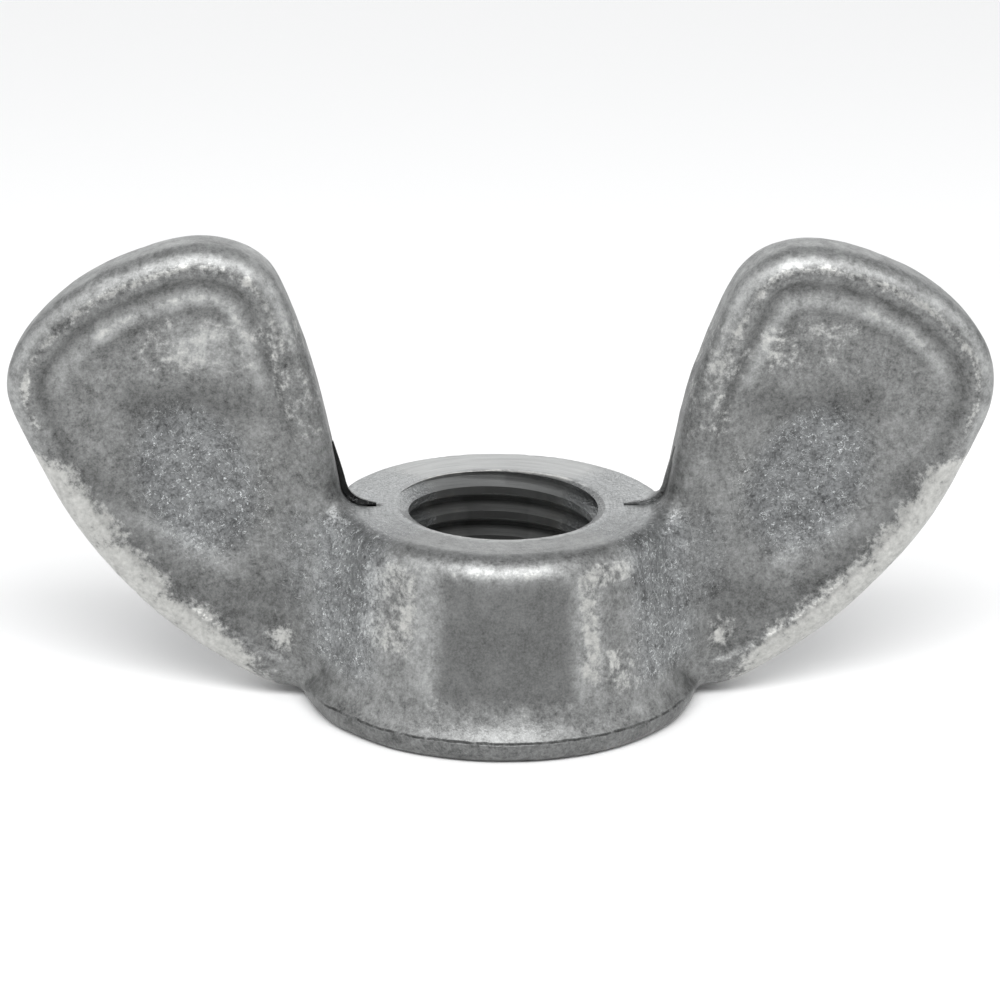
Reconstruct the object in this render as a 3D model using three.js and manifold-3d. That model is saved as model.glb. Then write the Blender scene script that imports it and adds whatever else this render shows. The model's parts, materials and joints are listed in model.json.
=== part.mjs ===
// Wing nut with two rounded, dished wings: one casting with an M16 x 2 thread cut in it.
// Millimetres, +Z up along the thread axis, wings along X. The origin is the centre of the
// round seat face, so the nut stands on z = 0.
import * as THREE from 'three';
import { mergeVertices } from 'three/addons/utils/BufferGeometryUtils.js';
import Module from 'manifold-3d';

const wasm = await Module();
wasm.setup();

// Overall sizes
const WING_SPAN = 73;
const HUB_HEIGHT = 14.7;

// Hub: a trimmed ring around the seat, a flare up from it, a slight taper and a rounded top edge
const SEAT_RADIUS = 13.9;
const RING_RADIUS = 15;
const RING_HEIGHT = 1.65;
const FLARE_WAIST = new THREE.Vector2(14.2, 2.4);
const FLARE_RADIUS = 13.8;
const FLARE_HEIGHT = 4.8;
const SHOULDER_RADIUS = 12.75;
const SHOULDER_DROP = 1.3;
const TOP_RADIUS = 11.9;
const HUB_SEGMENTS = 64;

// Thread, ISO metric coarse, right hand
const THREAD_MAJOR_RADIUS = 8;
const THREAD_MINOR_RADIUS = 7;
const THREAD_PITCH = 2;
const THREAD_ROOT_FLAT = THREAD_PITCH / 8;
const FLANK_ANGLE = Math.PI / 6;
const THREAD_STEPS_PER_TURN = 40;
const THREAD_OVERRUN = 2.1;
const BORE_SEGMENTS = 36;
const MOUTH_RADIUS = 7.75;

// Wing: half its thickness at each distance in from its edge, over the rounded edge, the rim
// and the two steps down to the face
const INSET_AND_HALF_THICKNESS = [
  [0, 0.9],
  [0.5, 2.0],
  [1.1, 2.65],
  [1.9, 2.9],
  [3.0, 2.4],
  [4.2, 2.35],
  [5.1, 2.1],
  [7.2, 2.05],
  [9.5, 2.0],
  [12.0, 2.0],
];
const FACE_HALF_THICKNESS = 2.0;
const WING_CENTRE = new THREE.Vector2(23.8, 18);
const WING_MEAN_RADIUS = 15.6;
const WING_SEGMENTS = 56;

// Bowl: the egg-shaped hollow low on each face, for a thumb
const BOWL_CENTRE = new THREE.Vector2(22.7, 17.3);
const BOWL_HALF_LENGTH = 8.2;
const BOWL_HALF_WIDTH = 5.8;
const BOWL_LEAN = THREE.MathUtils.degToRad(24);
const BOWL_DEPTH = 0.75;

// Wing outline in the XZ plane: up the inner edge, over the top, round the tip and back
// along the outer edge. The last points lie inside the hub.
const TIP_X = WING_SPAN / 2;
const WING_OUTLINE = new THREE.SplineCurve([
  [11.4, 12.0],
  [12.45, 18.0],
  [13.95, 24.8],
  [16.05, 31.0],
  [18.1, 33.95],
  [21.7, 35.18],
  [26.0, 34.55],
  [31.2, 32.0],
  [35.1, 28.3],
  [TIP_X, 24.5],
  [35.3, 20.1],
  [31.7, 13.3],
  [26.4, 7.0],
  [20.4, 2.35],
  [16.0, 0.5],
  [12.0, 1.2],
  [10.2, 6.0],
  [11.4, 12.0],
].map(([x, z]) => new THREE.Vector2(x, z)));
const OUTLINE_SAMPLES = 240;

// Root: the wing thickens where it meets the side of the hub, less so near the hub's top edge
const FILLET_RADIUS = 4.5;
const FILLET_REACH = 3.2;
const FILLET_FULL_BELOW = 6;
const FILLET_GONE_ABOVE = 13.8;

const STEEL_GREY = 0x8d9092;

/** A three.js geometry as a manifold solid. */
function solidFrom(geometry) {
  const bare = geometry.clone();
  bare.deleteAttribute('normal');
  bare.deleteAttribute('uv');
  const merged = mergeVertices(bare, 1e-4);
  return new wasm.Manifold(new wasm.Mesh({
    numProp: 3,
    vertProperties: new Float32Array(merged.attributes.position.array),
    triVerts: new Uint32Array(merged.index.array),
  }));
}

/** A manifold solid as a three.js geometry. */
function geometryFrom(solid) {
  const mesh = solid.getMesh();
  const geometry = new THREE.BufferGeometry();
  geometry.setAttribute('position', new THREE.BufferAttribute(mesh.vertProperties, 3));
  geometry.setIndex(new THREE.BufferAttribute(mesh.triVerts, 1));
  return geometry;
}

/** The solid of revolution of a profile of (radius, height) points about Z. */
function turned(profile, segments) {
  const geometry = new THREE.LatheGeometry(profile, segments);
  geometry.rotateX(Math.PI / 2);
  return solidFrom(geometry);
}

function hubBody() {
  const profile = new THREE.Path();
  profile.moveTo(0, 0);
  profile.lineTo(SEAT_RADIUS, 0);
  profile.quadraticCurveTo(RING_RADIUS, 0, RING_RADIUS, RING_HEIGHT);
  profile.quadraticCurveTo(FLARE_WAIST.x, FLARE_WAIST.y, FLARE_RADIUS, FLARE_HEIGHT);
  profile.lineTo(SHOULDER_RADIUS, HUB_HEIGHT - SHOULDER_DROP);
  profile.quadraticCurveTo(SHOULDER_RADIUS - 0.1, HUB_HEIGHT, TOP_RADIUS, HUB_HEIGHT);
  profile.lineTo(0, HUB_HEIGHT);
  return turned(profile.getPoints(4), HUB_SEGMENTS);
}

/** Distance from the wing's centre to its outline in the direction of an angle. */
function outlineRadius(samples, angle) {
  const direction = new THREE.Vector2(Math.cos(angle), Math.sin(angle));
  for (let i = 0; i + 1 < samples.length; i += 1) {
    const from = samples[i].clone().sub(WING_CENTRE);
    const to = samples[i + 1].clone().sub(WING_CENTRE);
    const fromSide = direction.cross(from);
    const toSide = direction.cross(to);
    if (fromSide * toSide > 0 || from.dot(direction) + to.dot(direction) < 0) continue;
    const crossing = from.lerp(to, fromSide / (fromSide - toSide));
    return crossing.length();
  }
  throw new Error('the wing outline does not surround its centre');
}

/** How much the fillet adds to half the wing's thickness at a point of the XZ plane. */
function filletHeight(x, z) {
  const hubSide = THREE.MathUtils.mapLinear(z, 0, HUB_HEIGHT, RING_RADIUS, SHOULDER_RADIUS);
  const reach = Math.max(0, hubSide + FILLET_REACH - x);
  const fade = 1 - THREE.MathUtils.smoothstep(z, FILLET_FULL_BELOW, FILLET_GONE_ABOVE);
  return fade * Math.min(reach, FILLET_RADIUS) ** 2 / (2 * FILLET_RADIUS);
}

/** Depth of the bowl at a point of the XZ plane. */
function bowlDepth(x, z) {
  const offset = new THREE.Vector2(x, z).sub(BOWL_CENTRE);
  offset.rotateAround(new THREE.Vector2(), BOWL_LEAN);
  const outward = Math.hypot(offset.x / BOWL_HALF_WIDTH, offset.y / BOWL_HALF_LENGTH);
  return BOWL_DEPTH * (1 - THREE.MathUtils.smoothstep(outward, 0.35, 1));
}

/** A dished wing on the +X side: a lathe about Y, with its rim moved out to the outline. */
function wing() {
  const front = [new THREE.Vector2(0, FACE_HALF_THICKNESS)];
  for (const [inset, half] of INSET_AND_HALF_THICKNESS.toReversed()) {
    front.push(new THREE.Vector2(WING_MEAN_RADIUS - inset, half));
  }
  const back = front.map((point) => new THREE.Vector2(point.x, -point.y)).reverse();
  const geometry = new THREE.LatheGeometry([...front, ...back].reverse(), WING_SEGMENTS);
  const samples = WING_OUTLINE.getPoints(OUTLINE_SAMPLES);
  const position = geometry.attributes.position;
  for (let i = 0; i < position.count; i += 1) {
    const angle = Math.atan2(position.getZ(i), position.getX(i));
    const inset = WING_MEAN_RADIUS - Math.hypot(position.getX(i), position.getZ(i));
    const rim = outlineRadius(samples, angle);
    const stretch = 1 + (rim / WING_MEAN_RADIUS - 1) * (inset / WING_MEAN_RADIUS);
    const radius = rim - inset * stretch;
    const x = WING_CENTRE.x + radius * Math.cos(angle);
    const z = WING_CENTRE.y + radius * Math.sin(angle);
    const y = position.getY(i);
    position.setXYZ(i, x, y + Math.sign(y) * (filletHeight(x, z) - bowlDepth(x, z)), z);
  }
  return solidFrom(geometry);
}

/** The groove of the thread: a bar of the thread's section wound along a right-hand helix. */
function threadGroove() {
  const length = HUB_HEIGHT + 2 * THREAD_OVERRUN;
  const turns = length / THREAD_PITCH;
  const geometry = new THREE.BoxGeometry(1, 1, 1, 1, 1, Math.round(turns * THREAD_STEPS_PER_TURN));
  const position = geometry.attributes.position;
  const innerRadius = THREAD_MINOR_RADIUS - 0.4;
  for (let i = 0; i < position.count; i += 1) {
    const radius = position.getX(i) > 0 ? THREAD_MAJOR_RADIUS : innerRadius;
    const flankRise = (THREAD_MAJOR_RADIUS - radius) * Math.tan(FLANK_ANGLE);
    const halfWidth = THREAD_ROOT_FLAT / 2 + flankRise;
    const turned = (0.5 - position.getZ(i)) * turns;
    const angle = turned * 2 * Math.PI;
    const rise = turned * THREAD_PITCH - THREAD_OVERRUN + 2 * position.getY(i) * halfWidth;
    position.setXYZ(i, radius * Math.cos(angle), radius * Math.sin(angle), rise);
  }
  return solidFrom(geometry);
}

/** The tapping hole, opened out at each end to the mouth. */
function tappingHole() {
  const depth = MOUTH_RADIUS - THREAD_MINOR_RADIUS;
  const over = THREAD_OVERRUN;
  return turned([
    new THREE.Vector2(0, -over),
    new THREE.Vector2(MOUTH_RADIUS + over, -over),
    new THREE.Vector2(THREAD_MINOR_RADIUS, depth),
    new THREE.Vector2(THREAD_MINOR_RADIUS, HUB_HEIGHT - depth),
    new THREE.Vector2(MOUTH_RADIUS + over, HUB_HEIGHT + over),
    new THREE.Vector2(0, HUB_HEIGHT + over),
  ], BORE_SEGMENTS);
}

function wingNut() {
  const rightWing = wing();
  const leftWing = rightWing.rotate([0, 0, 180]);
  const casting = hubBody().add(rightWing).add(leftWing);
  return casting.subtract(tappingHole().add(threadGroove()));
}

const metal = new THREE.MeshStandardMaterial({
  color: STEEL_GREY,
  roughness: 0.5,
  metalness: 0.9,
});
const nut = new THREE.Mesh(geometryFrom(wingNut()), metal);
nut.name = 'wing_nut';

const part = new THREE.Group();
part.add(nut);

export default part;
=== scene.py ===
"""Wing nut: one zinc-grey casting with dished wings and an M16 x 2 thread.

The fine mesh is drawn from a signed distance function of the CAD part's sizes. Lengths are in
millimetres until an object is made, and in metres where a name or comment says so.
"""

import json
import math

import bpy
import numpy as np
from mathutils import Matrix, Vector


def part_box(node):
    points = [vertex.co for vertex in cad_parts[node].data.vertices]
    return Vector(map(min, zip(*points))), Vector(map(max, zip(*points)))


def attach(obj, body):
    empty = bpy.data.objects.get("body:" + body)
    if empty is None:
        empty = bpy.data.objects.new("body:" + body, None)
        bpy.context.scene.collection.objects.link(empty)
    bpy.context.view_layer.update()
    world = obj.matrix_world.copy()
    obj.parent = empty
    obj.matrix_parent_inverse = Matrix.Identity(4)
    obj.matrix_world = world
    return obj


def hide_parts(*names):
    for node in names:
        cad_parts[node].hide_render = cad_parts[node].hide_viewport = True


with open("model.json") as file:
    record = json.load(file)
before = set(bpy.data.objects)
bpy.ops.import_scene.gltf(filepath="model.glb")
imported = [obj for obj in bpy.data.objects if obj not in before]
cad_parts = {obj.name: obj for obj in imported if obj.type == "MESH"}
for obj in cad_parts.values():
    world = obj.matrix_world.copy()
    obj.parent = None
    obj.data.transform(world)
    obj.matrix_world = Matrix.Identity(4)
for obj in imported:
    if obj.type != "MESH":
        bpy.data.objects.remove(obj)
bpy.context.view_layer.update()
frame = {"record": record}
nut_low, nut_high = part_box("wing_nut")

MM = 0.001
mounts = {mount["name"]: mount for mount in frame["record"]["mounts"]}

# Sizes taken from the frame. The rough edge of the seat ring stands a little proud of it.
RING_PROUD = 0.2
HALF_SPAN = nut_high.x / MM
WING_TOP = nut_high.z / MM
RING_RADIUS = nut_high.y / MM + RING_PROUD
HUB_HEIGHT = mounts["top_face"]["pos_m"][2] / MM

# Hub profile, as (radius, height): seat ring, flare, taper, and a top edge that is broad and
# round in front and sharper behind, each a curve given by its start, control point and end
SEAT_RADIUS = RING_RADIUS - 1.1
RING_HEIGHT = 1.65
FLARE_RADIUS = 13.8
FLARE_HEIGHT = 4.8
FLARE_WAIST = (14.2, 2.4)
SHOULDER_RADIUS = 12.75
BACK_TOP = ((SHOULDER_RADIUS, HUB_HEIGHT - 1.3), (12.65, HUB_HEIGHT - 0.05), (11.9, HUB_HEIGHT))
FRONT_TOP = ((SHOULDER_RADIUS, HUB_HEIGHT - 2.3), (12.6, HUB_HEIGHT - 0.3), (10.9, HUB_HEIGHT))

# Wings: round edge and rim, then a groove, a step and a shallow dish, each between two distances
# in from the outline, and the bowl low on the face
WING_CENTRE = (23.8, 18.0)
EDGE_RADIUS = 2.0
RIM_HALF_THICKNESS = 2.9
GROOVE_INSET = (1.9, 3.0)
GROOVE_DEPTH = 0.5
STEP_INSET = (4.25, 5.05)
STEP_DEPTH = 0.28
DISH_INSET = (5.0, 10.0)
DISH_DEPTH = 0.15
BOWL_CENTRE = (22.7, 17.3)
BOWL_HALF_SIZE = (5.8, 8.2)
BOWL_LEAN = math.radians(24)
BOWL_DEPTH = 0.95

# Fillets between the wings and the hub: up the side, round the top face, and at the seat ring
ROOT_FILLET = 4.2
TOP_FILLET = 1.6
FRONT_TOP_FILLET = 2.8
BASE_FILLET = 0.6

# Outlines in the XZ plane, up the inner edge, over the top and back along the outer edge. The
# two wings of the casting differ a little. The last points lie inside the hub.
LEFT_OUTLINE = [
    (11.4, 12.0), (12.4, 18.0), (13.95, 24.8), (16.05, 31.0), (18.1, 33.9),
    (21.7, WING_TOP - 0.05), (25.9, 34.45), (31.1, 32.0), (35.0, 28.3), (HALF_SPAN, 24.5),
    (35.15, 20.1), (31.6, 13.3), (26.35, 7.1), (20.4, 2.55), (16.0, 0.6), (12.0, 1.2),
    (10.2, 6.0),
]
RIGHT_OUTLINE = [
    (11.6, 12.0), (12.7, 18.0), (14.0, 24.6), (16.35, 31.0), (18.45, 33.95),
    (21.7, WING_TOP - 0.08), (26.1, 34.5), (31.25, 32.2), (35.15, 28.45), (HALF_SPAN - 0.1, 24.5),
    (35.2, 20.1), (31.7, 13.25), (26.35, 7.0), (20.4, 2.45), (16.0, 0.6), (12.0, 1.2),
    (10.2, 6.0),
]

# Flash left at the parting line, where each wing's inner edge meets the top of the hub, and the
# slot in front of it. Each line is a curve in the XZ plane.
FLASH_HEIGHT = 0.42
RIGHT_FLASH_SHARE = 0.6
FLASH_THICKNESS = 0.3
FLASH_ROOT = 0.6
LEFT_FLASH_LINE = ((-12.9, 20.5), (-11.9, 14.2), (-9.4, 14.7))
RIGHT_FLASH_LINE = ((13.3, 20.0), (12.2, 14.2), (9.2, 14.7))
FLASH_STEPS = 14
SLOT_REACH_OUT = 0.6
SLOT_OVERLAP = 0.03
LEFT_SLOT_DEPTH = 0.35
LEFT_SLOT_FRONT = -0.45
RIGHT_SLOT_DEPTH = 0.2
RIGHT_SLOT_FRONT = -0.12

# Thread
MAJOR_RADIUS = 8.0
MINOR_RADIUS = 7.0
PITCH = 2.0
MOUTH_RADIUS = 7.75
MOUTH_DROP = 0.4
BOTTOM_OVERRUN = 2.0
THREAD_START = -2.1
THREAD_STEPS_PER_TURN = 120

# Cast skin, as (height, size) of each layer of lumps
SKIN_LAYERS = [(0.05, 6.0), (0.035, 2.6), (0.018, 1.2), (0.010, 0.6)]

# Camera and lights, in metres. The lights are (name, place, size, watts).
CAMERA_PLACE = (-0.01157, -0.23567, 0.09766)
CAMERA_TARGET = (-0.000125, 0.000006, 0.01504)
CAMERA_ROLL = math.radians(0.903)
CAMERA_LENS = 119.9
CAMERA_SENSOR = 36.0
FLOOR_REACH = 3.0
LIGHT_TARGET = (0.0, 0.0, 0.012)
LIGHTS = [
    ("overhead", (0.0, -0.31, 0.40), (0.5, 0.22), 2.5),
    ("back", (0.0, 0.55, 0.22), (0.8, 0.3), 0.8),
    ("left", (-0.42, -0.06, 0.2), (0.3, 0.3), 0.45),
    ("right", (0.42, -0.06, 0.2), (0.3, 0.3), 0.45),
]

# Corners of the tables of distance, and the mesh's own step
WING_MAP_LOW = (-1.0, -3.0)
HUB_MAP_LOW = (-0.5, -3.0)
MAP_HIGH = (40.0, 39.0)
VOXEL = 0.32
SHARP_ANGLE = math.radians(42)


def smoothstep(value, low, high):
    t = np.clip((value - low) / (high - low), 0.0, 1.0)
    return t * t * (3.0 - 2.0 * t)


def closed_spline(points, steps=14):
    """Points along the closed Catmull-Rom curve through the given ones."""
    p1 = np.array(points, dtype=float)
    p0, p2, p3 = np.roll(p1, 1, 0), np.roll(p1, -1, 0), np.roll(p1, -2, 0)
    t = (np.arange(steps) / steps)[None, :, None]
    a, b, c, d = (p[:, None, :] for p in (p0, p1, p2, p3))
    curve = 0.5 * (2 * b + (c - a) * t + (2 * a - 5 * b + 4 * c - d) * t**2
                   + (3 * b - a - 3 * c + d) * t**3)
    return curve.reshape(-1, 2)


def quadratic(start, control, end, steps=8):
    """Points of a quadratic curve, without its start."""
    t = np.linspace(0.0, 1.0, steps + 1)[1:, None]
    start, control, end = (np.array(p, dtype=float) for p in (start, control, end))
    return (1 - t) ** 2 * start + 2 * t * (1 - t) * control + t**2 * end


class DistanceMap:
    """Signed distance to a closed outline, tabulated on a grid and read between its nodes."""

    def __init__(self, outline, low, high, step=0.1):
        self.low = np.array(low, dtype=float)
        self.step = step
        self.shape = tuple(int((h - l) / step) + 2 for l, h in zip(low, high))
        us = self.low[0] + step * np.arange(self.shape[0])
        vs = self.low[1] + step * np.arange(self.shape[1])
        u, v = np.meshgrid(us, vs, indexing="ij")
        nearest = np.full(u.shape, 1e9)
        inside = np.zeros(u.shape, dtype=bool)
        for a, b in zip(outline, np.roll(outline, -1, 0)):
            du, dv = b - a
            along = np.clip(((u - a[0]) * du + (v - a[1]) * dv) / (du * du + dv * dv), 0, 1)
            nearest = np.minimum(nearest, np.hypot(u - a[0] - along * du, v - a[1] - along * dv))
            if a[1] != b[1]:
                crosses = (a[1] > v) != (b[1] > v)
                inside ^= crosses & (u < a[0] + (v - a[1]) * du / dv)
        self.table = np.where(inside, -nearest, nearest)

    def __call__(self, u, v):
        fu = np.clip((u - self.low[0]) / self.step, 0, self.shape[0] - 1.001)
        fv = np.clip((v - self.low[1]) / self.step, 0, self.shape[1] - 1.001)
        i, j = fu.astype(int), fv.astype(int)
        fu, fv = fu - i, fv - j
        t = self.table
        return ((t[i, j] * (1 - fu) + t[i + 1, j] * fu) * (1 - fv)
                + (t[i, j + 1] * (1 - fu) + t[i + 1, j + 1] * fu) * fv)


def hub_outline(top):
    """Outline of half the hub, whose top edge is a (start, control, end) curve."""
    seat_edge = (SEAT_RADIUS, 0.0)
    ring_top = (RING_RADIUS, RING_HEIGHT)
    flare_top = (FLARE_RADIUS, FLARE_HEIGHT)
    return np.vstack([
        [(-RING_RADIUS, 0.0), seat_edge],
        quadratic(seat_edge, (RING_RADIUS, 0.0), ring_top),
        quadratic(ring_top, FLARE_WAIST, flare_top),
        [top[0]],
        quadratic(*top),
        [(-RING_RADIUS, HUB_HEIGHT)],
    ])


left_edge = DistanceMap(closed_spline(LEFT_OUTLINE), WING_MAP_LOW, MAP_HIGH)
right_edge = DistanceMap(closed_spline(RIGHT_OUTLINE), WING_MAP_LOW, MAP_HIGH)
hub_front = DistanceMap(hub_outline(FRONT_TOP), HUB_MAP_LOW, MAP_HIGH)
hub_back = DistanceMap(hub_outline(BACK_TOP), HUB_MAP_LOW, MAP_HIGH)


def wing_edge(x, z):
    """Signed distance to the outline of the wing on the point's own side, in the XZ plane."""
    across = np.abs(x)
    return np.where(x < 0, left_edge(across, z), right_edge(across, z))


def bowl(x, z):
    """How far down the bowl a point of the wing's face is, from 0 at its lip to 1."""
    dx, dz = x - BOWL_CENTRE[0], z - BOWL_CENTRE[1]
    across = dx * math.cos(BOWL_LEAN) - dz * math.sin(BOWL_LEAN)
    up = dx * math.sin(BOWL_LEAN) + dz * math.cos(BOWL_LEAN)
    outward = np.hypot(across / BOWL_HALF_SIZE[0], up / BOWL_HALF_SIZE[1])
    return 1.0 - smoothstep(outward, 0.35, 1.0)


def half_thickness(x, z, inset):
    """Half the wing's thickness, inside its round edge. The step fades away down the wing."""
    fading = 0.15 + 0.85 * smoothstep(z, 22.0, 28.0)
    relief = (GROOVE_DEPTH * smoothstep(inset, *GROOVE_INSET)
              + STEP_DEPTH * smoothstep(inset, *STEP_INSET) * fading
              + DISH_DEPTH * smoothstep(inset, *DISH_INSET)
              + BOWL_DEPTH * bowl(x, z))
    root = (1.0 - smoothstep(x, 13.5, 17.5)) * (1.0 - smoothstep(z, 12.0, 17.0))
    return RIM_HALF_THICKNESS - relief * (1.0 - root)


def round_union(a, b, radius):
    """Signed distance to two shapes joined with a fillet of a radius."""
    corner = np.hypot(np.maximum(radius - a, 0.0), np.maximum(radius - b, 0.0))
    return np.maximum(radius, np.minimum(a, b)) - corner


def fillet_radius(y, z):
    """Radius between the wings and the hub: small at the seat ring and behind the top face."""
    radius = BASE_FILLET + (ROOT_FILLET - BASE_FILLET) * smoothstep(z, 1.2, 6.0)
    top = TOP_FILLET + (FRONT_TOP_FILLET - TOP_FILLET) * smoothstep(-y, 0.5, 4.0)
    return radius + (top - radius) * smoothstep(z, 8.0, HUB_HEIGHT - 0.5)


def casting_distance(p):
    """Signed distance, in mm, from points to the casting before its bore is cut."""
    x, y, z = p[:, 0], p[:, 1], p[:, 2]
    edge = wing_edge(x, z)
    face = np.abs(y) - half_thickness(np.abs(x), z, -edge) + EDGE_RADIUS
    edge = edge + EDGE_RADIUS
    wing = (np.minimum(np.maximum(edge, face), 0.0)
            + np.hypot(np.maximum(edge, 0.0), np.maximum(face, 0.0)) - EDGE_RADIUS)
    radius = np.hypot(x, y)
    toward_back = smoothstep(y, -7.0, 3.0)
    hub = hub_front(radius, z) * (1 - toward_back) + hub_back(radius, z) * toward_back
    return np.maximum(round_union(wing, hub, fillet_radius(y, z)), -z)


def surface_net(distance, low, high, voxel):
    """Vertices and quads of the zero surface of a distance function."""
    axes = [np.arange(l - voxel, h + 2 * voxel, voxel) for l, h in zip(low, high)]
    shape = tuple(len(axis) for axis in axes)
    field = np.empty(shape)
    for i, x in enumerate(axes[0]):
        y, z = np.meshgrid(axes[1], axes[2], indexing="ij")
        slab = np.stack([np.full(y.size, x), y.ravel(), z.ravel()], 1)
        field[i] = distance(slab).reshape(y.shape)
    inside = field < 0
    total = np.zeros(tuple(n - 1 for n in shape) + (3,))
    count = np.zeros(tuple(n - 1 for n in shape))
    crossings = []
    for axis in range(3):
        ahead = [slice(None)] * 3
        behind = [slice(None)] * 3
        ahead[axis], behind[axis] = slice(1, None), slice(None, -1)
        a, b = field[tuple(behind)], field[tuple(ahead)]
        crosses = inside[tuple(behind)] != inside[tuple(ahead)]
        share = np.where(crosses, a / np.where(crosses, a - b, 1.0), 0.0)
        crossings.append(crosses)
        others = [o for o in range(3) if o != axis]
        for shift in ((0, 0), (0, 1), (1, 0), (1, 1)):
            part = [slice(None)] * 3
            for other, s in zip(others, shift):
                part[other] = slice(s, shape[other] - 1 + s)
            part = tuple(part)
            hit = crosses[part]
            count += hit
            total[..., axis] += np.where(hit, share[part], 0.0)
            for other, s in zip(others, shift):
                total[..., other] += np.where(hit, float(s), 0.0)
    used = count > 0
    number = np.full(count.shape, -1)
    number[used] = np.arange(used.sum())
    cells = np.argwhere(used)
    start = np.array([axis[0] for axis in axes])
    vertices = start + voxel * (cells + total[used] / count[used][:, None])
    quads = []
    for axis in range(3):
        first, second = [(1, 2), (2, 0), (0, 1)][axis]
        at = np.argwhere(crossings[axis])
        keep = (at[:, first] > 0) & (at[:, second] > 0)
        at = at[keep]
        step1, step2 = np.eye(3, dtype=int)[first], np.eye(3, dtype=int)[second]
        corners = [at, at - step1, at - step1 - step2, at - step2]
        quad = np.stack([number[tuple(c.T)] for c in corners], 1)
        outward = inside[tuple(at.T)]
        quads.append(np.where(outward[:, None], quad, quad[:, ::-1]))
    return vertices, np.vstack(quads)


def gradient(distance, points, reach=0.02):
    """The gradient of a distance function at each point, which is the surface's normal on it."""
    result = np.empty_like(points)
    for axis in range(3):
        offset = np.zeros(3)
        offset[axis] = reach
        result[:, axis] = (distance(points + offset) - distance(points - offset)) / (2 * reach)
    return result


def nearer(distance, points, slope):
    """Points moved along the slope to where the distance would be 0."""
    size = np.maximum((slope**2).sum(1), 0.25)
    return points - slope * (distance(points) / size)[:, None]


def settle(distance, vertices, quads, rounds=3):
    """Evens the spacing of the vertices and puts them on the zero surface."""
    edges = np.vstack([quads[:, [i, (i + 1) % 4]] for i in range(4)])
    degree = np.bincount(edges.ravel(), minlength=len(vertices))[:, None]
    for _ in range(rounds):
        total = np.zeros_like(vertices)
        for axis in range(3):
            for a, b in ((0, 1), (1, 0)):
                total[:, axis] += np.bincount(edges[:, a], weights=vertices[edges[:, b], axis],
                                              minlength=len(vertices))
        vertices = vertices + 0.5 * (total / degree - vertices)
        for _ in range(2):
            vertices = nearer(distance, vertices, gradient(distance, vertices))
    return vertices


def hashed(i, j, k, salt):
    """A repeatable number from -1 to 1 for each whole-number place."""
    h = (i * 374761393 + j * 668265263 + k * 2147483647 + salt * 144269504) & 0xFFFFFFFF
    h = ((h ^ (h >> 13)) * 1274126177) & 0xFFFFFFFF
    h = ((h ^ (h >> 16)) * 2246822519) & 0xFFFFFFFF
    return ((h ^ (h >> 15)) & 0xFFFF) / 32767.5 - 1.0


def lumps(points, size, salt=0):
    """Smooth noise from -1 to 1 whose lumps are about the given size in mm."""
    place = points / size + 1000.0
    cell = np.floor(place).astype(np.int64)
    f = place - cell
    f = f * f * (3.0 - 2.0 * f)
    value = np.zeros(len(points))
    for dx in (0, 1):
        for dy in (0, 1):
            for dz in (0, 1):
                weight = (np.where(dx, f[:, 0], 1 - f[:, 0]) * np.where(dy, f[:, 1], 1 - f[:, 1])
                          * np.where(dz, f[:, 2], 1 - f[:, 2]))
                value += weight * hashed(cell[:, 0] + dx, cell[:, 1] + dy, cell[:, 2] + dz, salt)
    return value


def trimmed_flat(points):
    """1 on the faces that were trimmed flat after casting, 0 on the cast skin."""
    radius = np.hypot(points[:, 0], points[:, 1])
    top = smoothstep(points[:, 2], HUB_HEIGHT - 0.06, HUB_HEIGHT - 0.03) * (radius < SHOULDER_RADIUS)
    seat = 1.0 - smoothstep(points[:, 2], 0.03, 0.06)
    return np.maximum(top, seat)


def cast_skin(points, normals):
    """Moves the points of the cast skin in and out, as sand or a worn die leaves it."""
    height = sum(high * lumps(points, size, salt)
                 for salt, (high, size) in enumerate(SKIN_LAYERS, start=1))
    return points + normals * (height * (1.0 - trimmed_flat(points)))[:, None]


def mesh_object(name, vertices, faces):
    """A new object, in metres, of vertices in millimetres."""
    mesh = bpy.data.meshes.new(name)
    mesh.from_pydata((np.asarray(vertices) * MM).tolist(), [], [tuple(face) for face in faces])
    mesh.update()
    piece = bpy.data.objects.new(name, mesh)
    bpy.context.scene.collection.objects.link(piece)
    return piece


def bar_faces(steps):
    """The faces of a closed bar of four corners at each step."""
    faces = [(0, 1, 2, 3), tuple(4 * steps + k for k in (3, 2, 1, 0))]
    for i in range(steps):
        for k in range(4):
            n = (k + 1) % 4
            faces.append((4 * i + k, 4 * i + 4 + k, 4 * i + 4 + n, 4 * i + n))
    return faces


def thread_cutter():
    """The groove of the thread: a bar of the thread's section wound along a right-hand helix."""
    slope = math.tan(math.radians(30))
    inner = MINOR_RADIUS - 0.4
    outer_reach = PITCH / 16
    inner_reach = outer_reach + (MAJOR_RADIUS - inner) * slope
    section = [(inner, -inner_reach), (MAJOR_RADIUS, -outer_reach),
               (MAJOR_RADIUS, outer_reach), (inner, inner_reach)]
    steps = math.ceil((HUB_HEIGHT - 2 * THREAD_START) / PITCH) * THREAD_STEPS_PER_TURN
    points = []
    for i in range(steps + 1):
        turn = i / THREAD_STEPS_PER_TURN
        angle = 2 * math.pi * turn
        for r, h in section:
            rise = THREAD_START + PITCH * turn + h
            points.append((r * math.cos(angle), r * math.sin(angle), rise))
    return mesh_object("thread_groove", points, bar_faces(steps))


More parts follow.
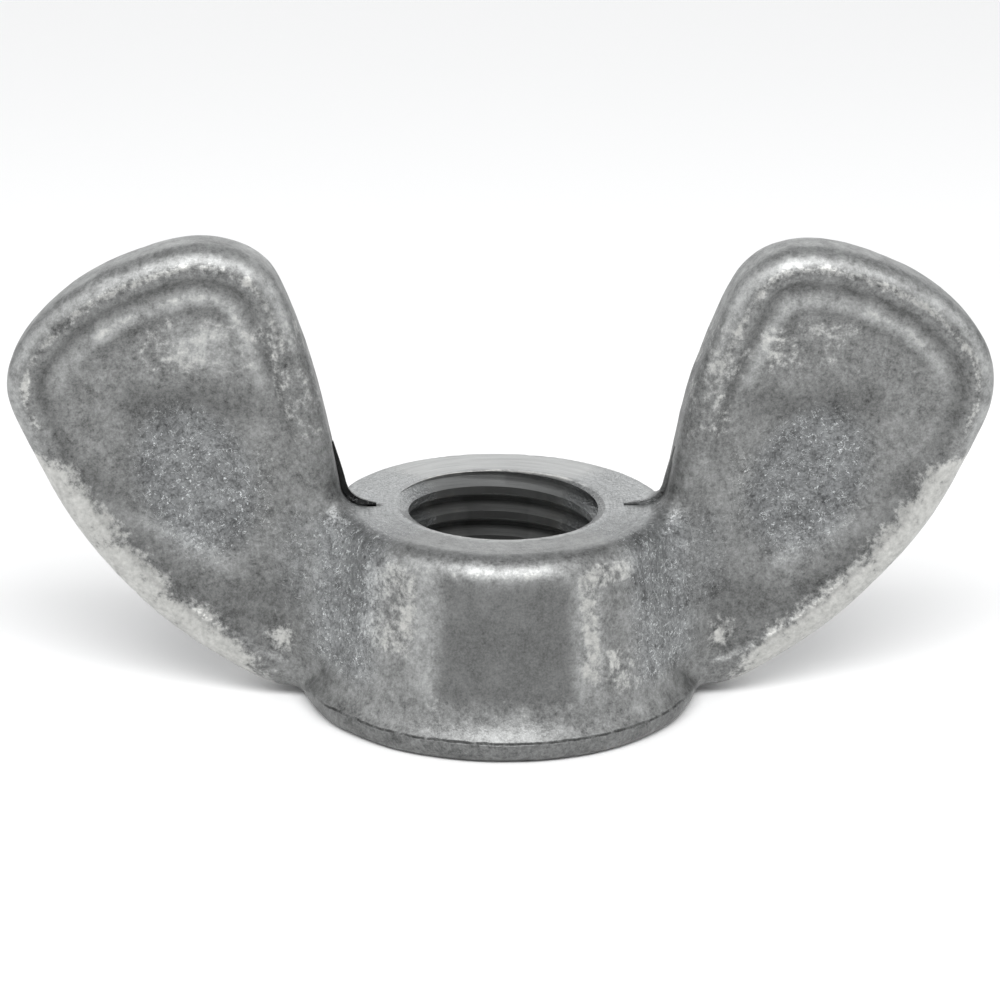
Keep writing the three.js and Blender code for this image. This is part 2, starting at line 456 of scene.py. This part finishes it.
def turned_cutter(name, profile, segments=180):
    """A closed solid of revolution whose profile starts and ends on the axis."""
    points = [(0.0, 0.0, profile[0][1]), (0.0, 0.0, profile[-1][1])]
    rings = len(profile) - 2
    for r, h in profile[1:-1]:
        for k in range(segments):
            angle = 2 * math.pi * (k + 0.5) / segments
            points.append((r * math.cos(angle), r * math.sin(angle), h))
    faces = []
    for k in range(segments):
        n = (k + 1) % segments
        faces.append((0, 2 + n, 2 + k))
        last = 2 + (rings - 1) * segments
        faces.append((1, last + k, last + n))
        for ring in range(rings - 1):
            base = 2 + ring * segments
            faces.append((base + k, base + n, base + segments + n, base + segments + k))
    return mesh_object(name, points, faces)


def tapping_hole():
    """The hole that the thread is cut in, opened out at each end to the mouth."""
    chamfer = MOUTH_RADIUS - MINOR_RADIUS
    above = 3.0 * MOUTH_DROP
    return turned_cutter("tapping_hole", [
        (0.0, -BOTTOM_OVERRUN),
        (MOUTH_RADIUS + BOTTOM_OVERRUN, -BOTTOM_OVERRUN),
        (MINOR_RADIUS, chamfer),
        (MINOR_RADIUS, HUB_HEIGHT - MOUTH_DROP),
        (MOUTH_RADIUS + 3.0 * chamfer, HUB_HEIGHT + above),
        (0.0, HUB_HEIGHT + above),
    ])


def cut(piece, cutter, operation="DIFFERENCE"):
    """Takes the cutter from the piece, or joins it on, and removes the cutter."""
    modifier = piece.modifiers.new("cut", "BOOLEAN")
    modifier.operation = operation
    modifier.solver = "MANIFOLD"
    modifier.object = cutter
    graph = bpy.context.evaluated_depsgraph_get()
    result = bpy.data.meshes.new_from_object(piece.evaluated_get(graph))
    piece.modifiers.clear()
    piece.data = result
    bpy.data.objects.remove(cutter)


def plate_along(line, lower, upper, front, back):
    """A thin crescent plate standing along a line of the casting's surface in the XZ plane.

    lower and upper are how far it reaches into and out of the surface at the crescent's middle.
    """
    x, z = np.array(line, dtype=float).T
    points = np.stack([x, np.zeros(len(x)), z], 1)
    for _ in range(4):
        slope = gradient(casting_distance, points)
        slope[:, 1] = 0.0
        points = nearer(casting_distance, points, slope)
    slope /= np.linalg.norm(slope, axis=1)[:, None]
    share = np.sin(np.pi * np.linspace(0.05, 0.95, len(x)))[:, None]
    low = points - slope * (0.05 + lower * share)
    high = points + slope * (0.05 + upper * share)
    corners = []
    for deep, out in zip(low, high):
        corners += [(out[0], front, out[2]), (deep[0], front, deep[2]),
                    (deep[0], back, deep[2]), (out[0], back, out[2])]
    faces = bar_faces(len(x) - 1)
    if x[0] > 0:
        faces = [face[::-1] for face in faces]
    return mesh_object("parting_line", corners, faces)


def band(value, centre, width):
    """1 at the centre, falling softly to 0 over about twice the width on each side."""
    return np.exp(-(((value - centre) / width) ** 2))


def between(value, low, high, soft):
    """1 from low to high and 0 outside, with soft ends."""
    above = smoothstep(value, low - soft, low + soft)
    return above * (1 - smoothstep(value, high - soft, high + soft))


def most(*values):
    """The greatest of several arrays, point by point."""
    return np.max(values, axis=0)


def wing_wear_and_painted_light(x, y, z):
    """Wear of the wings and the light and shade painted on them, placed by how far in from the
    outline a point is, or by x and z.
    """
    across = np.abs(x)
    inset = -wing_edge(x, z)
    around = np.degrees(np.arctan2(z - WING_CENTRE[1], across - WING_CENTRE[0]))
    outer = between(around, -112.0, 8.0, 9.0)
    crown = smoothstep(z, 23.0, 28.0)
    upper = smoothstep(z, 17.0, 23.0) * smoothstep(across, 14.0, 16.5)
    inner_rim = between(across, 13.0, 18.5, 1.0) * between(z, 19.5, 30.5, 2.0)
    high_on_face = between(z, 25.2, 30.0, 1.0) * between(across, 17.5, 27.0, 1.2)
    bevel = outer * (0.90 - 0.90 * smoothstep(inset, 1.3, 4.6))

    # Worn bright on the lower outer bevel, by the root, high on the face and along the inner rim;
    # painted highlights on the rim's ridge and on the step's terrace on the crown.
    rubbed_and_highlit = most(
        bevel * (0.72 + 0.28 * smoothstep(np.abs(y), 0.6, 1.8)),
        0.60 * upper * band(inset, 1.4, 0.55),
        0.70 * band(np.hypot(across - 16.6, (z - 5.2) * 0.8), 0.0, 1.7),
        0.50 * crown * band(inset, 3.7, 0.45),
        np.where(x > 0, 0.44, 0.46) * high_on_face,
        0.42 * inner_rim * (1 - smoothstep(inset, 2.4, 4.2)),
    )
    # Painted light on the rim's top, the step's terrace and the bowl's lower lip, where they face the
    # light; and a paler patch high on the left wing.
    pale = most(
        0.75 * (x < 0) * between(z, 26.0, 29.3, 0.9) * between(across, 18.6, 24.5, 1.2),
        0.60 * upper * (1 - smoothstep(inset, 0.6, 1.4)),
        0.80 * crown * band(inset, 3.75, 0.55),
        0.62 * band(z - 0.55 * across, -0.6, 0.8) * between(across, 20.0, 30.5, 1.5),
    )
    # Painted shade in the groove inside the rim, under the step, on the top of the bowl where it
    # faces down, along the outer edge's groove and low on the wing by its root.
    dark = most(
        0.68 * upper * band(inset, 2.65, 0.6),
        0.50 * crown * band(inset, 4.8, 0.45),
        0.60 * between(z, 22.2, 24.6, 0.9) * between(across, 17.5, 28.0, 1.5),
        0.62 * outer * band(inset, 3.4, 1.2),
        0.60 * between(z, 5.5, 10.0, 1.5) * between(across, 15.5, 21.0, 1.5),
    )
    crystal = most(
        smoothstep(bowl(across, z), 0.0, 0.8),
        0.7 * band(across, 14.5, 2.0) * between(z, 8.0, 15.0, 1.5),
    )
    glint = 0.8 * band(across, 17.9, 0.8) * between(z, 13.5, 19.5, 1.0)
    return {"rubbed_and_highlit": rubbed_and_highlit, "pale": pale, "dark": dark, "crystal": crystal, "glint": glint}


def hub_wear_and_painted_light(x, y, z):
    """Wear of the hub's side and the light and shade painted on it. arc is how far round it a point
    is from the middle of its face.
    """
    arc = FLARE_RADIUS * np.arctan2(x, np.abs(y)) * np.where(y > 0, -1.0, 1.0)
    # The front patch of the hub, where a dark reflection is painted and the skin is smoother.
    pad = between(arc, -5.2, 4.9, 0.7) * between(z, 4.3, 13.1, 0.6)

    # Worn bright patches on the sides; painted highlights along the round top edge and on the flare
    # above the seat ring.
    rubbed_and_highlit = most(
        0.42 * between(arc, -9.0, 7.0, 1.5) * band(z, 13.6, 0.6),
        0.62 * between(arc, -13.0, -7.2, 0.7) * between(z, 6.5, 13.6, 1.4),
        0.62 * between(arc, 5.4, 7.6, 0.8) * between(z, 4.5, 13.6, 0.9),
        0.62 * between(arc, 6.0, 11.8, 0.7) * between(z, 12.0, 14.0, 0.7),
        0.50 * between(arc, 7.4, 11.8, 0.7) * between(z, 3.5, 8.0, 1.2),
        0.34 * between(arc, -14.0, 12.0, 1.5) * band(z, 4.0, 1.1),
    )
    # Painted reflections in the light bands each side of the dark front patch, on the round top edge
    # and on the flare; paler also towards the sides.
    pale = most(
        0.60 * between(arc, -7.9, -5.3, 0.9) * between(z, 3.5, 13.4, 0.9),
        0.60 * between(arc, 5.0, 7.4, 0.9) * between(z, 3.5, 13.4, 0.9),
        0.60 * between(arc, -8.5, 6.5, 1.0) * band(z, 13.5, 0.9),
        0.12 * band(z, 3.4, 1.2),
        0.30 * smoothstep(np.abs(arc), 8.5, 10.5) * between(z, 3.5, 14.5, 1.0),
    )
    # Painted shade: the dark reflection on the front patch and the crease where the hub meets a wing;
    # darker also on the seat ring at the foot.
    dark = most(
        0.52 * pad,
        0.55 * band(arc, 12.5, 0.4) * between(z, 4.0, 13.0, 1.0),
        0.42 * (1 - smoothstep(z, 1.3, 1.8)),
    )
    crystal = smoothstep(np.abs(arc), 9.5, 12.5) * between(z, 4.0, 15.0, 1.0)
    return {"rubbed_and_highlit": rubbed_and_highlit, "pale": pale, "dark": dark, "crystal": crystal, "smooth": pad}


def paint(points):
    """How each point of the surface has aged and where light and shade are painted on it, from 0 to 1
    for each kind of wear and painted light.
    """
    x, y, z = points.T
    across, radius = np.abs(x), np.hypot(x, y)
    beyond_hub = smoothstep(across, 13.0, 15.5)
    above_hub = smoothstep(z, HUB_HEIGHT + 0.4, HUB_HEIGHT + 2.0)
    on_wing = beyond_hub + (1 - beyond_hub) * above_hub
    on_hub = 1 - on_wing
    wing, hub = wing_wear_and_painted_light(x, y, z), hub_wear_and_painted_light(x, y, z)

    top = between(z, HUB_HEIGHT - 0.12, HUB_HEIGHT + 0.15, 0.08)
    top = top * (1 - smoothstep(radius, 11.8, 12.6))
    burr = 0.85 * top * band(radius, MOUTH_RADIUS + 0.15, 0.35) * smoothstep(y, 2.0, 5.0)
    in_bore = radius < MAJOR_RADIUS + 0.1
    worn_front = smoothstep(radius, 11.0, 12.2) * (y < 0)
    faced = most(
        top * (0.35 + 0.65 * smoothstep(y, -8.0, 1.0)) * (1 - worn_front),
        1 - smoothstep(z, 0.05, 0.12),
        in_bore.astype(float),
    )

    in_mouth = (radius < MOUTH_RADIUS + 0.05) & (z > HUB_HEIGHT - 0.45)
    by_flash = between(z, HUB_HEIGHT - 0.6, 20.6, 0.1) * between(across, 9.0, 13.6, 0.1)
    by_flash = by_flash * ((y > -0.46) & (y < 0.02))
    by_flash = by_flash * (np.abs(casting_distance(points)) < FLASH_HEIGHT + 0.2)
    shade = most(
        0.36 * (in_bore & (z < HUB_HEIGHT - 0.45)),
        0.62 * in_mouth * (1 - burr),
        by_flash * np.where(x < 0, 1.0, 0.2),
    )

    return {
        "rubbed_and_highlit": most(on_wing * wing["rubbed_and_highlit"] + on_hub * hub["rubbed_and_highlit"] * (1 - top), burr),
        "pale": on_wing * wing["pale"] + on_hub * hub["pale"],
        "dark": most(on_wing * wing["dark"] + on_hub * hub["dark"] * (1 - top), shade),
        "crystal": most(on_wing * wing["crystal"], on_hub * hub["crystal"]),
        "glint": on_wing * wing["glint"],
        "smooth": on_hub * hub["smooth"],
        "machined": faced * (1 - burr),
    }


def cast_body():
    """The casting with its uneven skin, before the flash and the bore."""
    low = (-HALF_SPAN, -RING_RADIUS, 0.0)
    high = (HALF_SPAN, RING_RADIUS, WING_TOP)
    vertices, quads = surface_net(casting_distance, low, high, VOXEL)
    vertices = settle(casting_distance, vertices, quads)
    normals = gradient(casting_distance, vertices)
    normals /= np.maximum(np.linalg.norm(normals, axis=1), 0.1)[:, None]
    vertices = cast_skin(vertices, normals)
    vertices[:, 2] = np.maximum(vertices[:, 2], 0.0)
    return mesh_object("cast_wing_nut", vertices, quads)


def cut_slot(nut, line, depth, front):
    cut(nut, plate_along(line, depth, SLOT_REACH_OUT, front, SLOT_OVERLAP))


def add_flash(nut, line, height):
    cut(nut, plate_along(line, FLASH_ROOT, height, 0.0, FLASH_THICKNESS), "UNION")


def build_nut():
    nut = cast_body()
    left = quadratic(*LEFT_FLASH_LINE, FLASH_STEPS)
    right = quadratic(*RIGHT_FLASH_LINE, FLASH_STEPS)
    cut_slot(nut, left, LEFT_SLOT_DEPTH, LEFT_SLOT_FRONT)
    cut_slot(nut, right, RIGHT_SLOT_DEPTH, RIGHT_SLOT_FRONT)
    add_flash(nut, left, FLASH_HEIGHT)
    add_flash(nut, right, RIGHT_FLASH_SHARE * FLASH_HEIGHT)
    hole = tapping_hole()
    cut(hole, thread_cutter(), "UNION")
    cut(nut, hole)
    flat = np.empty(3 * len(nut.data.vertices))
    nut.data.vertices.foreach_get("co", flat)
    for name, values in paint(flat.reshape(-1, 3) / MM).items():
        attribute = nut.data.attributes.new(name, "FLOAT", "POINT")
        attribute.data.foreach_set("value", np.clip(values, 0.0, 1.0).astype(np.float32))
    nut.data.shade_smooth()
    nut.data.set_sharp_from_angle(angle=SHARP_ANGLE)
    return nut


class Shader:
    """Short hands for building a material's nodes."""

    def __init__(self, name):
        self.material = bpy.data.materials.new(name)
        self.material.use_nodes = True
        self.tree = self.material.node_tree
        self.surface = self.tree.nodes["Principled BSDF"]
        self.place = self.tree.nodes.new("ShaderNodeTexCoord").outputs["Object"]

    def put(self, value, socket):
        if isinstance(value, bpy.types.NodeSocket):
            self.tree.links.new(value, socket)
        else:
            socket.default_value = value

    def math(self, operation, *values, clamp=False):
        node = self.tree.nodes.new("ShaderNodeMath")
        node.operation = operation
        node.use_clamp = clamp
        for value, socket in zip(values, node.inputs):
            self.put(value, socket)
        return node.outputs[0]

    def vary(self, noise, amount):
        """The noise, centred on 0 and scaled."""
        return self.math("MULTIPLY", self.math("SUBTRACT", noise, 0.5), amount)

    def blend(self, share, a, b):
        """a where share is 0, b where it is 1."""
        node = self.tree.nodes.new("ShaderNodeMix")
        node.data_type = "FLOAT"
        self.put(share, node.inputs[0])
        self.put(a, node.inputs[2])
        self.put(b, node.inputs[3])
        return node.outputs[0]

    def tint(self, share, a, b):
        node = self.tree.nodes.new("ShaderNodeMix")
        node.data_type = "RGBA"
        self.put(share, node.inputs[0])
        self.put(a, node.inputs[6])
        self.put(b, node.inputs[7])
        return node.outputs[2]

    def ramp(self, value, low, high):
        """0 below low and 1 above high, with a soft step between."""
        node = self.tree.nodes.new("ShaderNodeMapRange")
        node.interpolation_type = "SMOOTHSTEP"
        self.put(value, node.inputs["Value"])
        self.put(low, node.inputs["From Min"])
        self.put(high, node.inputs["From Max"])
        return node.outputs["Result"]

    def noise(self, size, detail=4.0, roughness=0.6, place=None):
        """Noise from 0 to 1 whose lumps are about the given size in mm."""
        node = self.tree.nodes.new("ShaderNodeTexNoise")
        self.put(place or self.place, node.inputs["Vector"])
        node.inputs["Scale"].default_value = 1.0 / (size * MM)
        node.inputs["Detail"].default_value = detail
        node.inputs["Roughness"].default_value = roughness
        return node.outputs["Fac"]

    def cells(self, size):
        """A random number for each cell of about the given size in mm, and the cells' domes."""
        node = self.tree.nodes.new("ShaderNodeTexVoronoi")
        self.put(self.place, node.inputs["Vector"])
        node.inputs["Scale"].default_value = 1.0 / (size * MM)
        pick = self.tree.nodes.new("ShaderNodeSeparateColor")
        self.put(node.outputs["Color"], pick.inputs[0])
        return pick.outputs[0], node.outputs["Distance"]

    def attribute(self, name):
        node = self.tree.nodes.new("ShaderNodeAttribute")
        node.attribute_name = name
        return node.outputs["Fac"]

    def bump(self, height, distance, normal=None):
        node = self.tree.nodes.new("ShaderNodeBump")
        node.inputs["Strength"].default_value = 1.0
        node.inputs["Distance"].default_value = distance * MM
        self.put(height, node.inputs["Height"])
        if normal is not None:
            self.put(normal, node.inputs["Normal"])
        return node.outputs["Normal"]


class CastMetal(Shader):
    """Aged zinc-grey casting: mottled skin, edges worn bright, crystalline hollows, machined faces,
    and painted highlights, glints, reflections and shade.
    """

    def __init__(self):
        super().__init__("cast_metal")
        self.rubbed_and_highlit = self.attribute("rubbed_and_highlit")
        self.pale = self.attribute("pale")
        self.dark = self.attribute("dark")
        self.glint = self.attribute("glint")
        self.crystal = self.attribute("crystal")
        self.smooth = self.attribute("smooth")
        self.machined = self.attribute("machined")
        self.sparkling = self.math("MAXIMUM", self.crystal, self.glint)
        self.cloud = self.noise(3.2, 5.0, 0.62)
        self.patch = self.noise(1.5, 8.0, 0.72)
        self.fine = self.noise(0.42, 5.0, 0.7)
        self.grain = self.noise(0.16, 3.0, 0.7)
        self.chance, self.dome = self.cells(0.30)
        split = self.tree.nodes.new("ShaderNodeSeparateXYZ")
        self.put(self.place, split.inputs[0])
        self.x, self.y, self.z = split.outputs
        self.arcs = self.turning_marks()
        self.line = self.trim_line()
        self.stroke = self.strokes()
        self.bright = self.burnished_and_highlit()
        self.colour()
        self.roughness()
        self.relief()
        self.surface.inputs["Metallic"].default_value = 0.88

    def less(self, value, share, amount):
        """The value, lowered by an amount where share is 1."""
        return self.math("MULTIPLY", value, self.rest(self.math("MULTIPLY", share, amount)))

    def rest(self, share):
        return self.math("SUBTRACT", 1.0, share)

    def turning_marks(self):
        """Noise drawn out into rings round the thread's axis."""
        squares = [self.math("MULTIPLY", side, side) for side in (self.x, self.y)]
        radius = self.math("SQRT", self.math("ADD", *squares))
        swirl = self.tree.nodes.new("ShaderNodeCombineXYZ")
        self.put(radius, swirl.inputs[0])
        self.put(self.math("MULTIPLY", self.x, 0.05), swirl.inputs[1])
        self.put(self.math("MULTIPLY", self.y, 0.05), swirl.inputs[2])
        return self.noise(0.22, 3.0, 0.6, swirl.outputs[0])

    def trim_line(self):
        """1 on the broken line around the ring at the foot of the hub."""
        drift = self.vary(self.cloud, 0.35 * MM)
        off_line = self.math("SUBTRACT", self.z, RING_HEIGHT * MM)
        off_line = self.math("ABSOLUTE", self.math("ADD", off_line, drift))
        across = self.math("ABSOLUTE", self.x)
        near_hub = self.rest(self.ramp(across, 12.8 * MM, 14.0 * MM))
        on_line = self.rest(self.ramp(off_line, 0.03 * MM, 0.13 * MM))
        line = self.math("MULTIPLY", near_hub, on_line)
        return self.math("MULTIPLY", line, self.ramp(self.patch, 0.35, 0.55))

    def strokes(self):
        """1 on thin bright lines, as crystals leave on zinc. In the colour they make painted glints,
        in the relief bumps.
        """
        strokes = self.noise(0.30, 2.0, 0.5)
        off_stroke = self.math("ABSOLUTE", self.math("SUBTRACT", strokes, 0.5))
        return self.rest(self.ramp(off_stroke, 0.006, 0.035))

    def burnished_and_highlit(self):
        """1 in the ragged patches that rubbing has left bright, and on the painted highlights."""
        ragged = self.math("ADD", self.rubbed_and_highlit, self.vary(self.patch, 1.5))
        ragged = self.math("ADD", ragged, self.vary(self.fine, 0.6))
        ragged = self.ramp(ragged, 0.42, 0.78)
        return self.math("MULTIPLY", ragged, self.ramp(self.rubbed_and_highlit, 0.02, 0.3))

    def skin_tone(self):
        tone = self.math("ADD", 0.215, self.vary(self.cloud, 0.18))
        tone = self.math("ADD", tone, self.vary(self.patch, self.blend(self.smooth, 0.34, 0.12)))
        tone = self.math("ADD", tone, self.vary(self.fine, self.blend(self.smooth, 0.42, 0.18)))
        tone = self.math("ADD", tone, self.vary(self.grain, 0.26))
        # Paler where the pale mask is set; most of it is painted light.
        paler = self.math("ADD", 0.17, self.vary(self.patch, 0.5))
        tone = self.math("ADD", tone, self.math("MULTIPLY", self.pale, paler))
        # Painted shade: darker where the dark mask is set, darkest where it is strongest.
        tone = self.less(tone, self.dark, 0.50)
        tone = self.less(tone, self.ramp(self.dark, 0.7, 1.0), 0.75)
        # Painted glints: bright specks on the crystal lines in the crystalline and glint zones.
        lit = self.math("MULTIPLY", self.stroke, self.ramp(self.chance, 0.45, 0.8))
        spark = self.math("MULTIPLY", lit, self.sparkling)
        return self.math("ADD", tone, self.math("MULTIPLY", spark, self.blend(self.glint, 0.6, 0.7)))

    def colour(self):
        fine_and_patch = self.math("ADD", self.vary(self.fine, 0.5), self.vary(self.patch, 0.4))
        # Lighter on the patches worn bright and on the painted highlights.
        tone = self.blend(self.bright, self.skin_tone(), self.math("ADD", 0.45, fine_and_patch))
        turned = self.math("ADD", 0.385, self.vary(self.arcs, 0.36))
        # Painted shade in the bore and on the mouth.
        turned = self.less(turned, self.dark, 0.75)
        tone = self.blend(self.math("MULTIPLY", self.machined, 0.9), tone, turned)
        off_line = self.rest(self.math("MULTIPLY", self.line, 0.75))
        tone = self.math("MULTIPLY", tone, off_line, clamp=True)

        hue = self.tint(self.bright, (0.985, 1.0, 0.99, 1.0), (1.0, 1.0, 0.965, 1.0))
        hue = self.tint(self.math("MULTIPLY", self.crystal, 0.8), hue, (0.972, 1.0, 1.015, 1.0))
        scale = self.tree.nodes.new("ShaderNodeVectorMath")
        scale.operation = "SCALE"
        self.put(hue, scale.inputs[0])
        self.put(tone, scale.inputs["Scale"])
        self.put(scale.outputs[0], self.surface.inputs["Base Color"])

    def roughness(self):
        rough = self.math("ADD", 0.46, self.vary(self.fine, 0.3))
        rough = self.blend(self.bright, rough, 0.34)
        rough = self.blend(self.smooth, rough, 0.40)
        rough = self.blend(self.machined, rough, 0.33)
        self.put(rough, self.surface.inputs["Roughness"])

    def relief(self):
        """Bumps too fine for the mesh: skin, crystals, turning marks and the trim line."""
        coarse, small = self.math("MULTIPLY", self.fine, 0.6), self.math("MULTIPLY", self.grain, 0.25)
        skin = self.math("ADD", coarse, small)
        evened = self.math("MAXIMUM", self.smooth, self.math("MAXIMUM", self.machined, self.pale))
        skin = self.math("MULTIPLY", skin, self.blend(evened, 1.0, 0.3))
        normal = self.bump(skin, 0.06)
        facets = self.math("ADD", self.math("MULTIPLY", self.dome, 0.5), self.stroke)
        normal = self.bump(self.math("MULTIPLY", facets, self.sparkling), 0.09, normal)
        normal = self.bump(self.math("MULTIPLY", self.arcs, self.machined), 0.02, normal)
        normal = self.bump(self.math("MULTIPLY", self.line, -1.0), 0.05, normal)
        self.put(normal, self.surface.inputs["Normal"])


def plain(name, colour, roughness):
    """A material of one colour, for the floor only."""
    material = bpy.data.materials.new(name)
    material.use_nodes = True
    surface = material.node_tree.nodes["Principled BSDF"]
    surface.inputs["Base Color"].default_value = (*colour, 1.0)
    surface.inputs["Roughness"].default_value = roughness
    return material


def aim(thing, place, target, roll=0.0):
    """Puts a thing at a place, with its -Z towards the target and a roll about that line."""
    place, target = Vector(place), Vector(target)
    turn = (target - place).to_track_quat("-Z", "Y").to_matrix().to_4x4()
    thing.matrix_world = Matrix.Translation(place) @ turn @ Matrix.Rotation(roll, 4, "Z")


def soft_light(name, place, size, watts):
    data = bpy.data.lights.new(name, "AREA")
    data.shape = "RECTANGLE"
    data.size, data.size_y = size
    data.energy = watts
    lamp = bpy.data.objects.new(name, data)
    bpy.context.scene.collection.objects.link(lamp)
    aim(lamp, place, LIGHT_TARGET)


def studio():
    """Pale floor, even pale surroundings, soft lights and the camera."""
    world = bpy.data.worlds.new("studio")
    bpy.context.scene.world = world
    world.use_nodes = True
    background = world.node_tree.nodes["Background"]
    background.inputs["Color"].default_value = (0.98, 0.99, 1.0, 1.0)
    background.inputs["Strength"].default_value = 0.45

    mesh = bpy.data.meshes.new("floor")
    signs = [(-1, -1), (1, -1), (1, 1), (-1, 1)]
    mesh.from_pydata([(FLOOR_REACH * a, FLOOR_REACH * b, 0.0) for a, b in signs], [], [(0, 1, 2, 3)])
    floor = bpy.data.objects.new("floor", mesh)
    bpy.context.scene.collection.objects.link(floor)
    mesh.materials.append(plain("floor", (0.93, 0.93, 0.93), 0.9))

    for light in LIGHTS:
        soft_light(*light)

    data = bpy.data.cameras.new("camera")
    data.sensor_width = CAMERA_SENSOR
    data.lens = CAMERA_LENS
    data.clip_start = 0.01
    data.clip_end = 10.0
    camera = bpy.data.objects.new("camera", data)
    bpy.context.scene.collection.objects.link(camera)
    aim(camera, CAMERA_PLACE, CAMERA_TARGET, CAMERA_ROLL)
    bpy.context.scene.camera = camera
    bpy.context.scene.view_settings.view_transform = "Standard"


nut = build_nut()
nut.data.materials.clear()
nut.data.materials.append(CastMetal().material)
studio()

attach(nut, "root")
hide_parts("wing_nut")
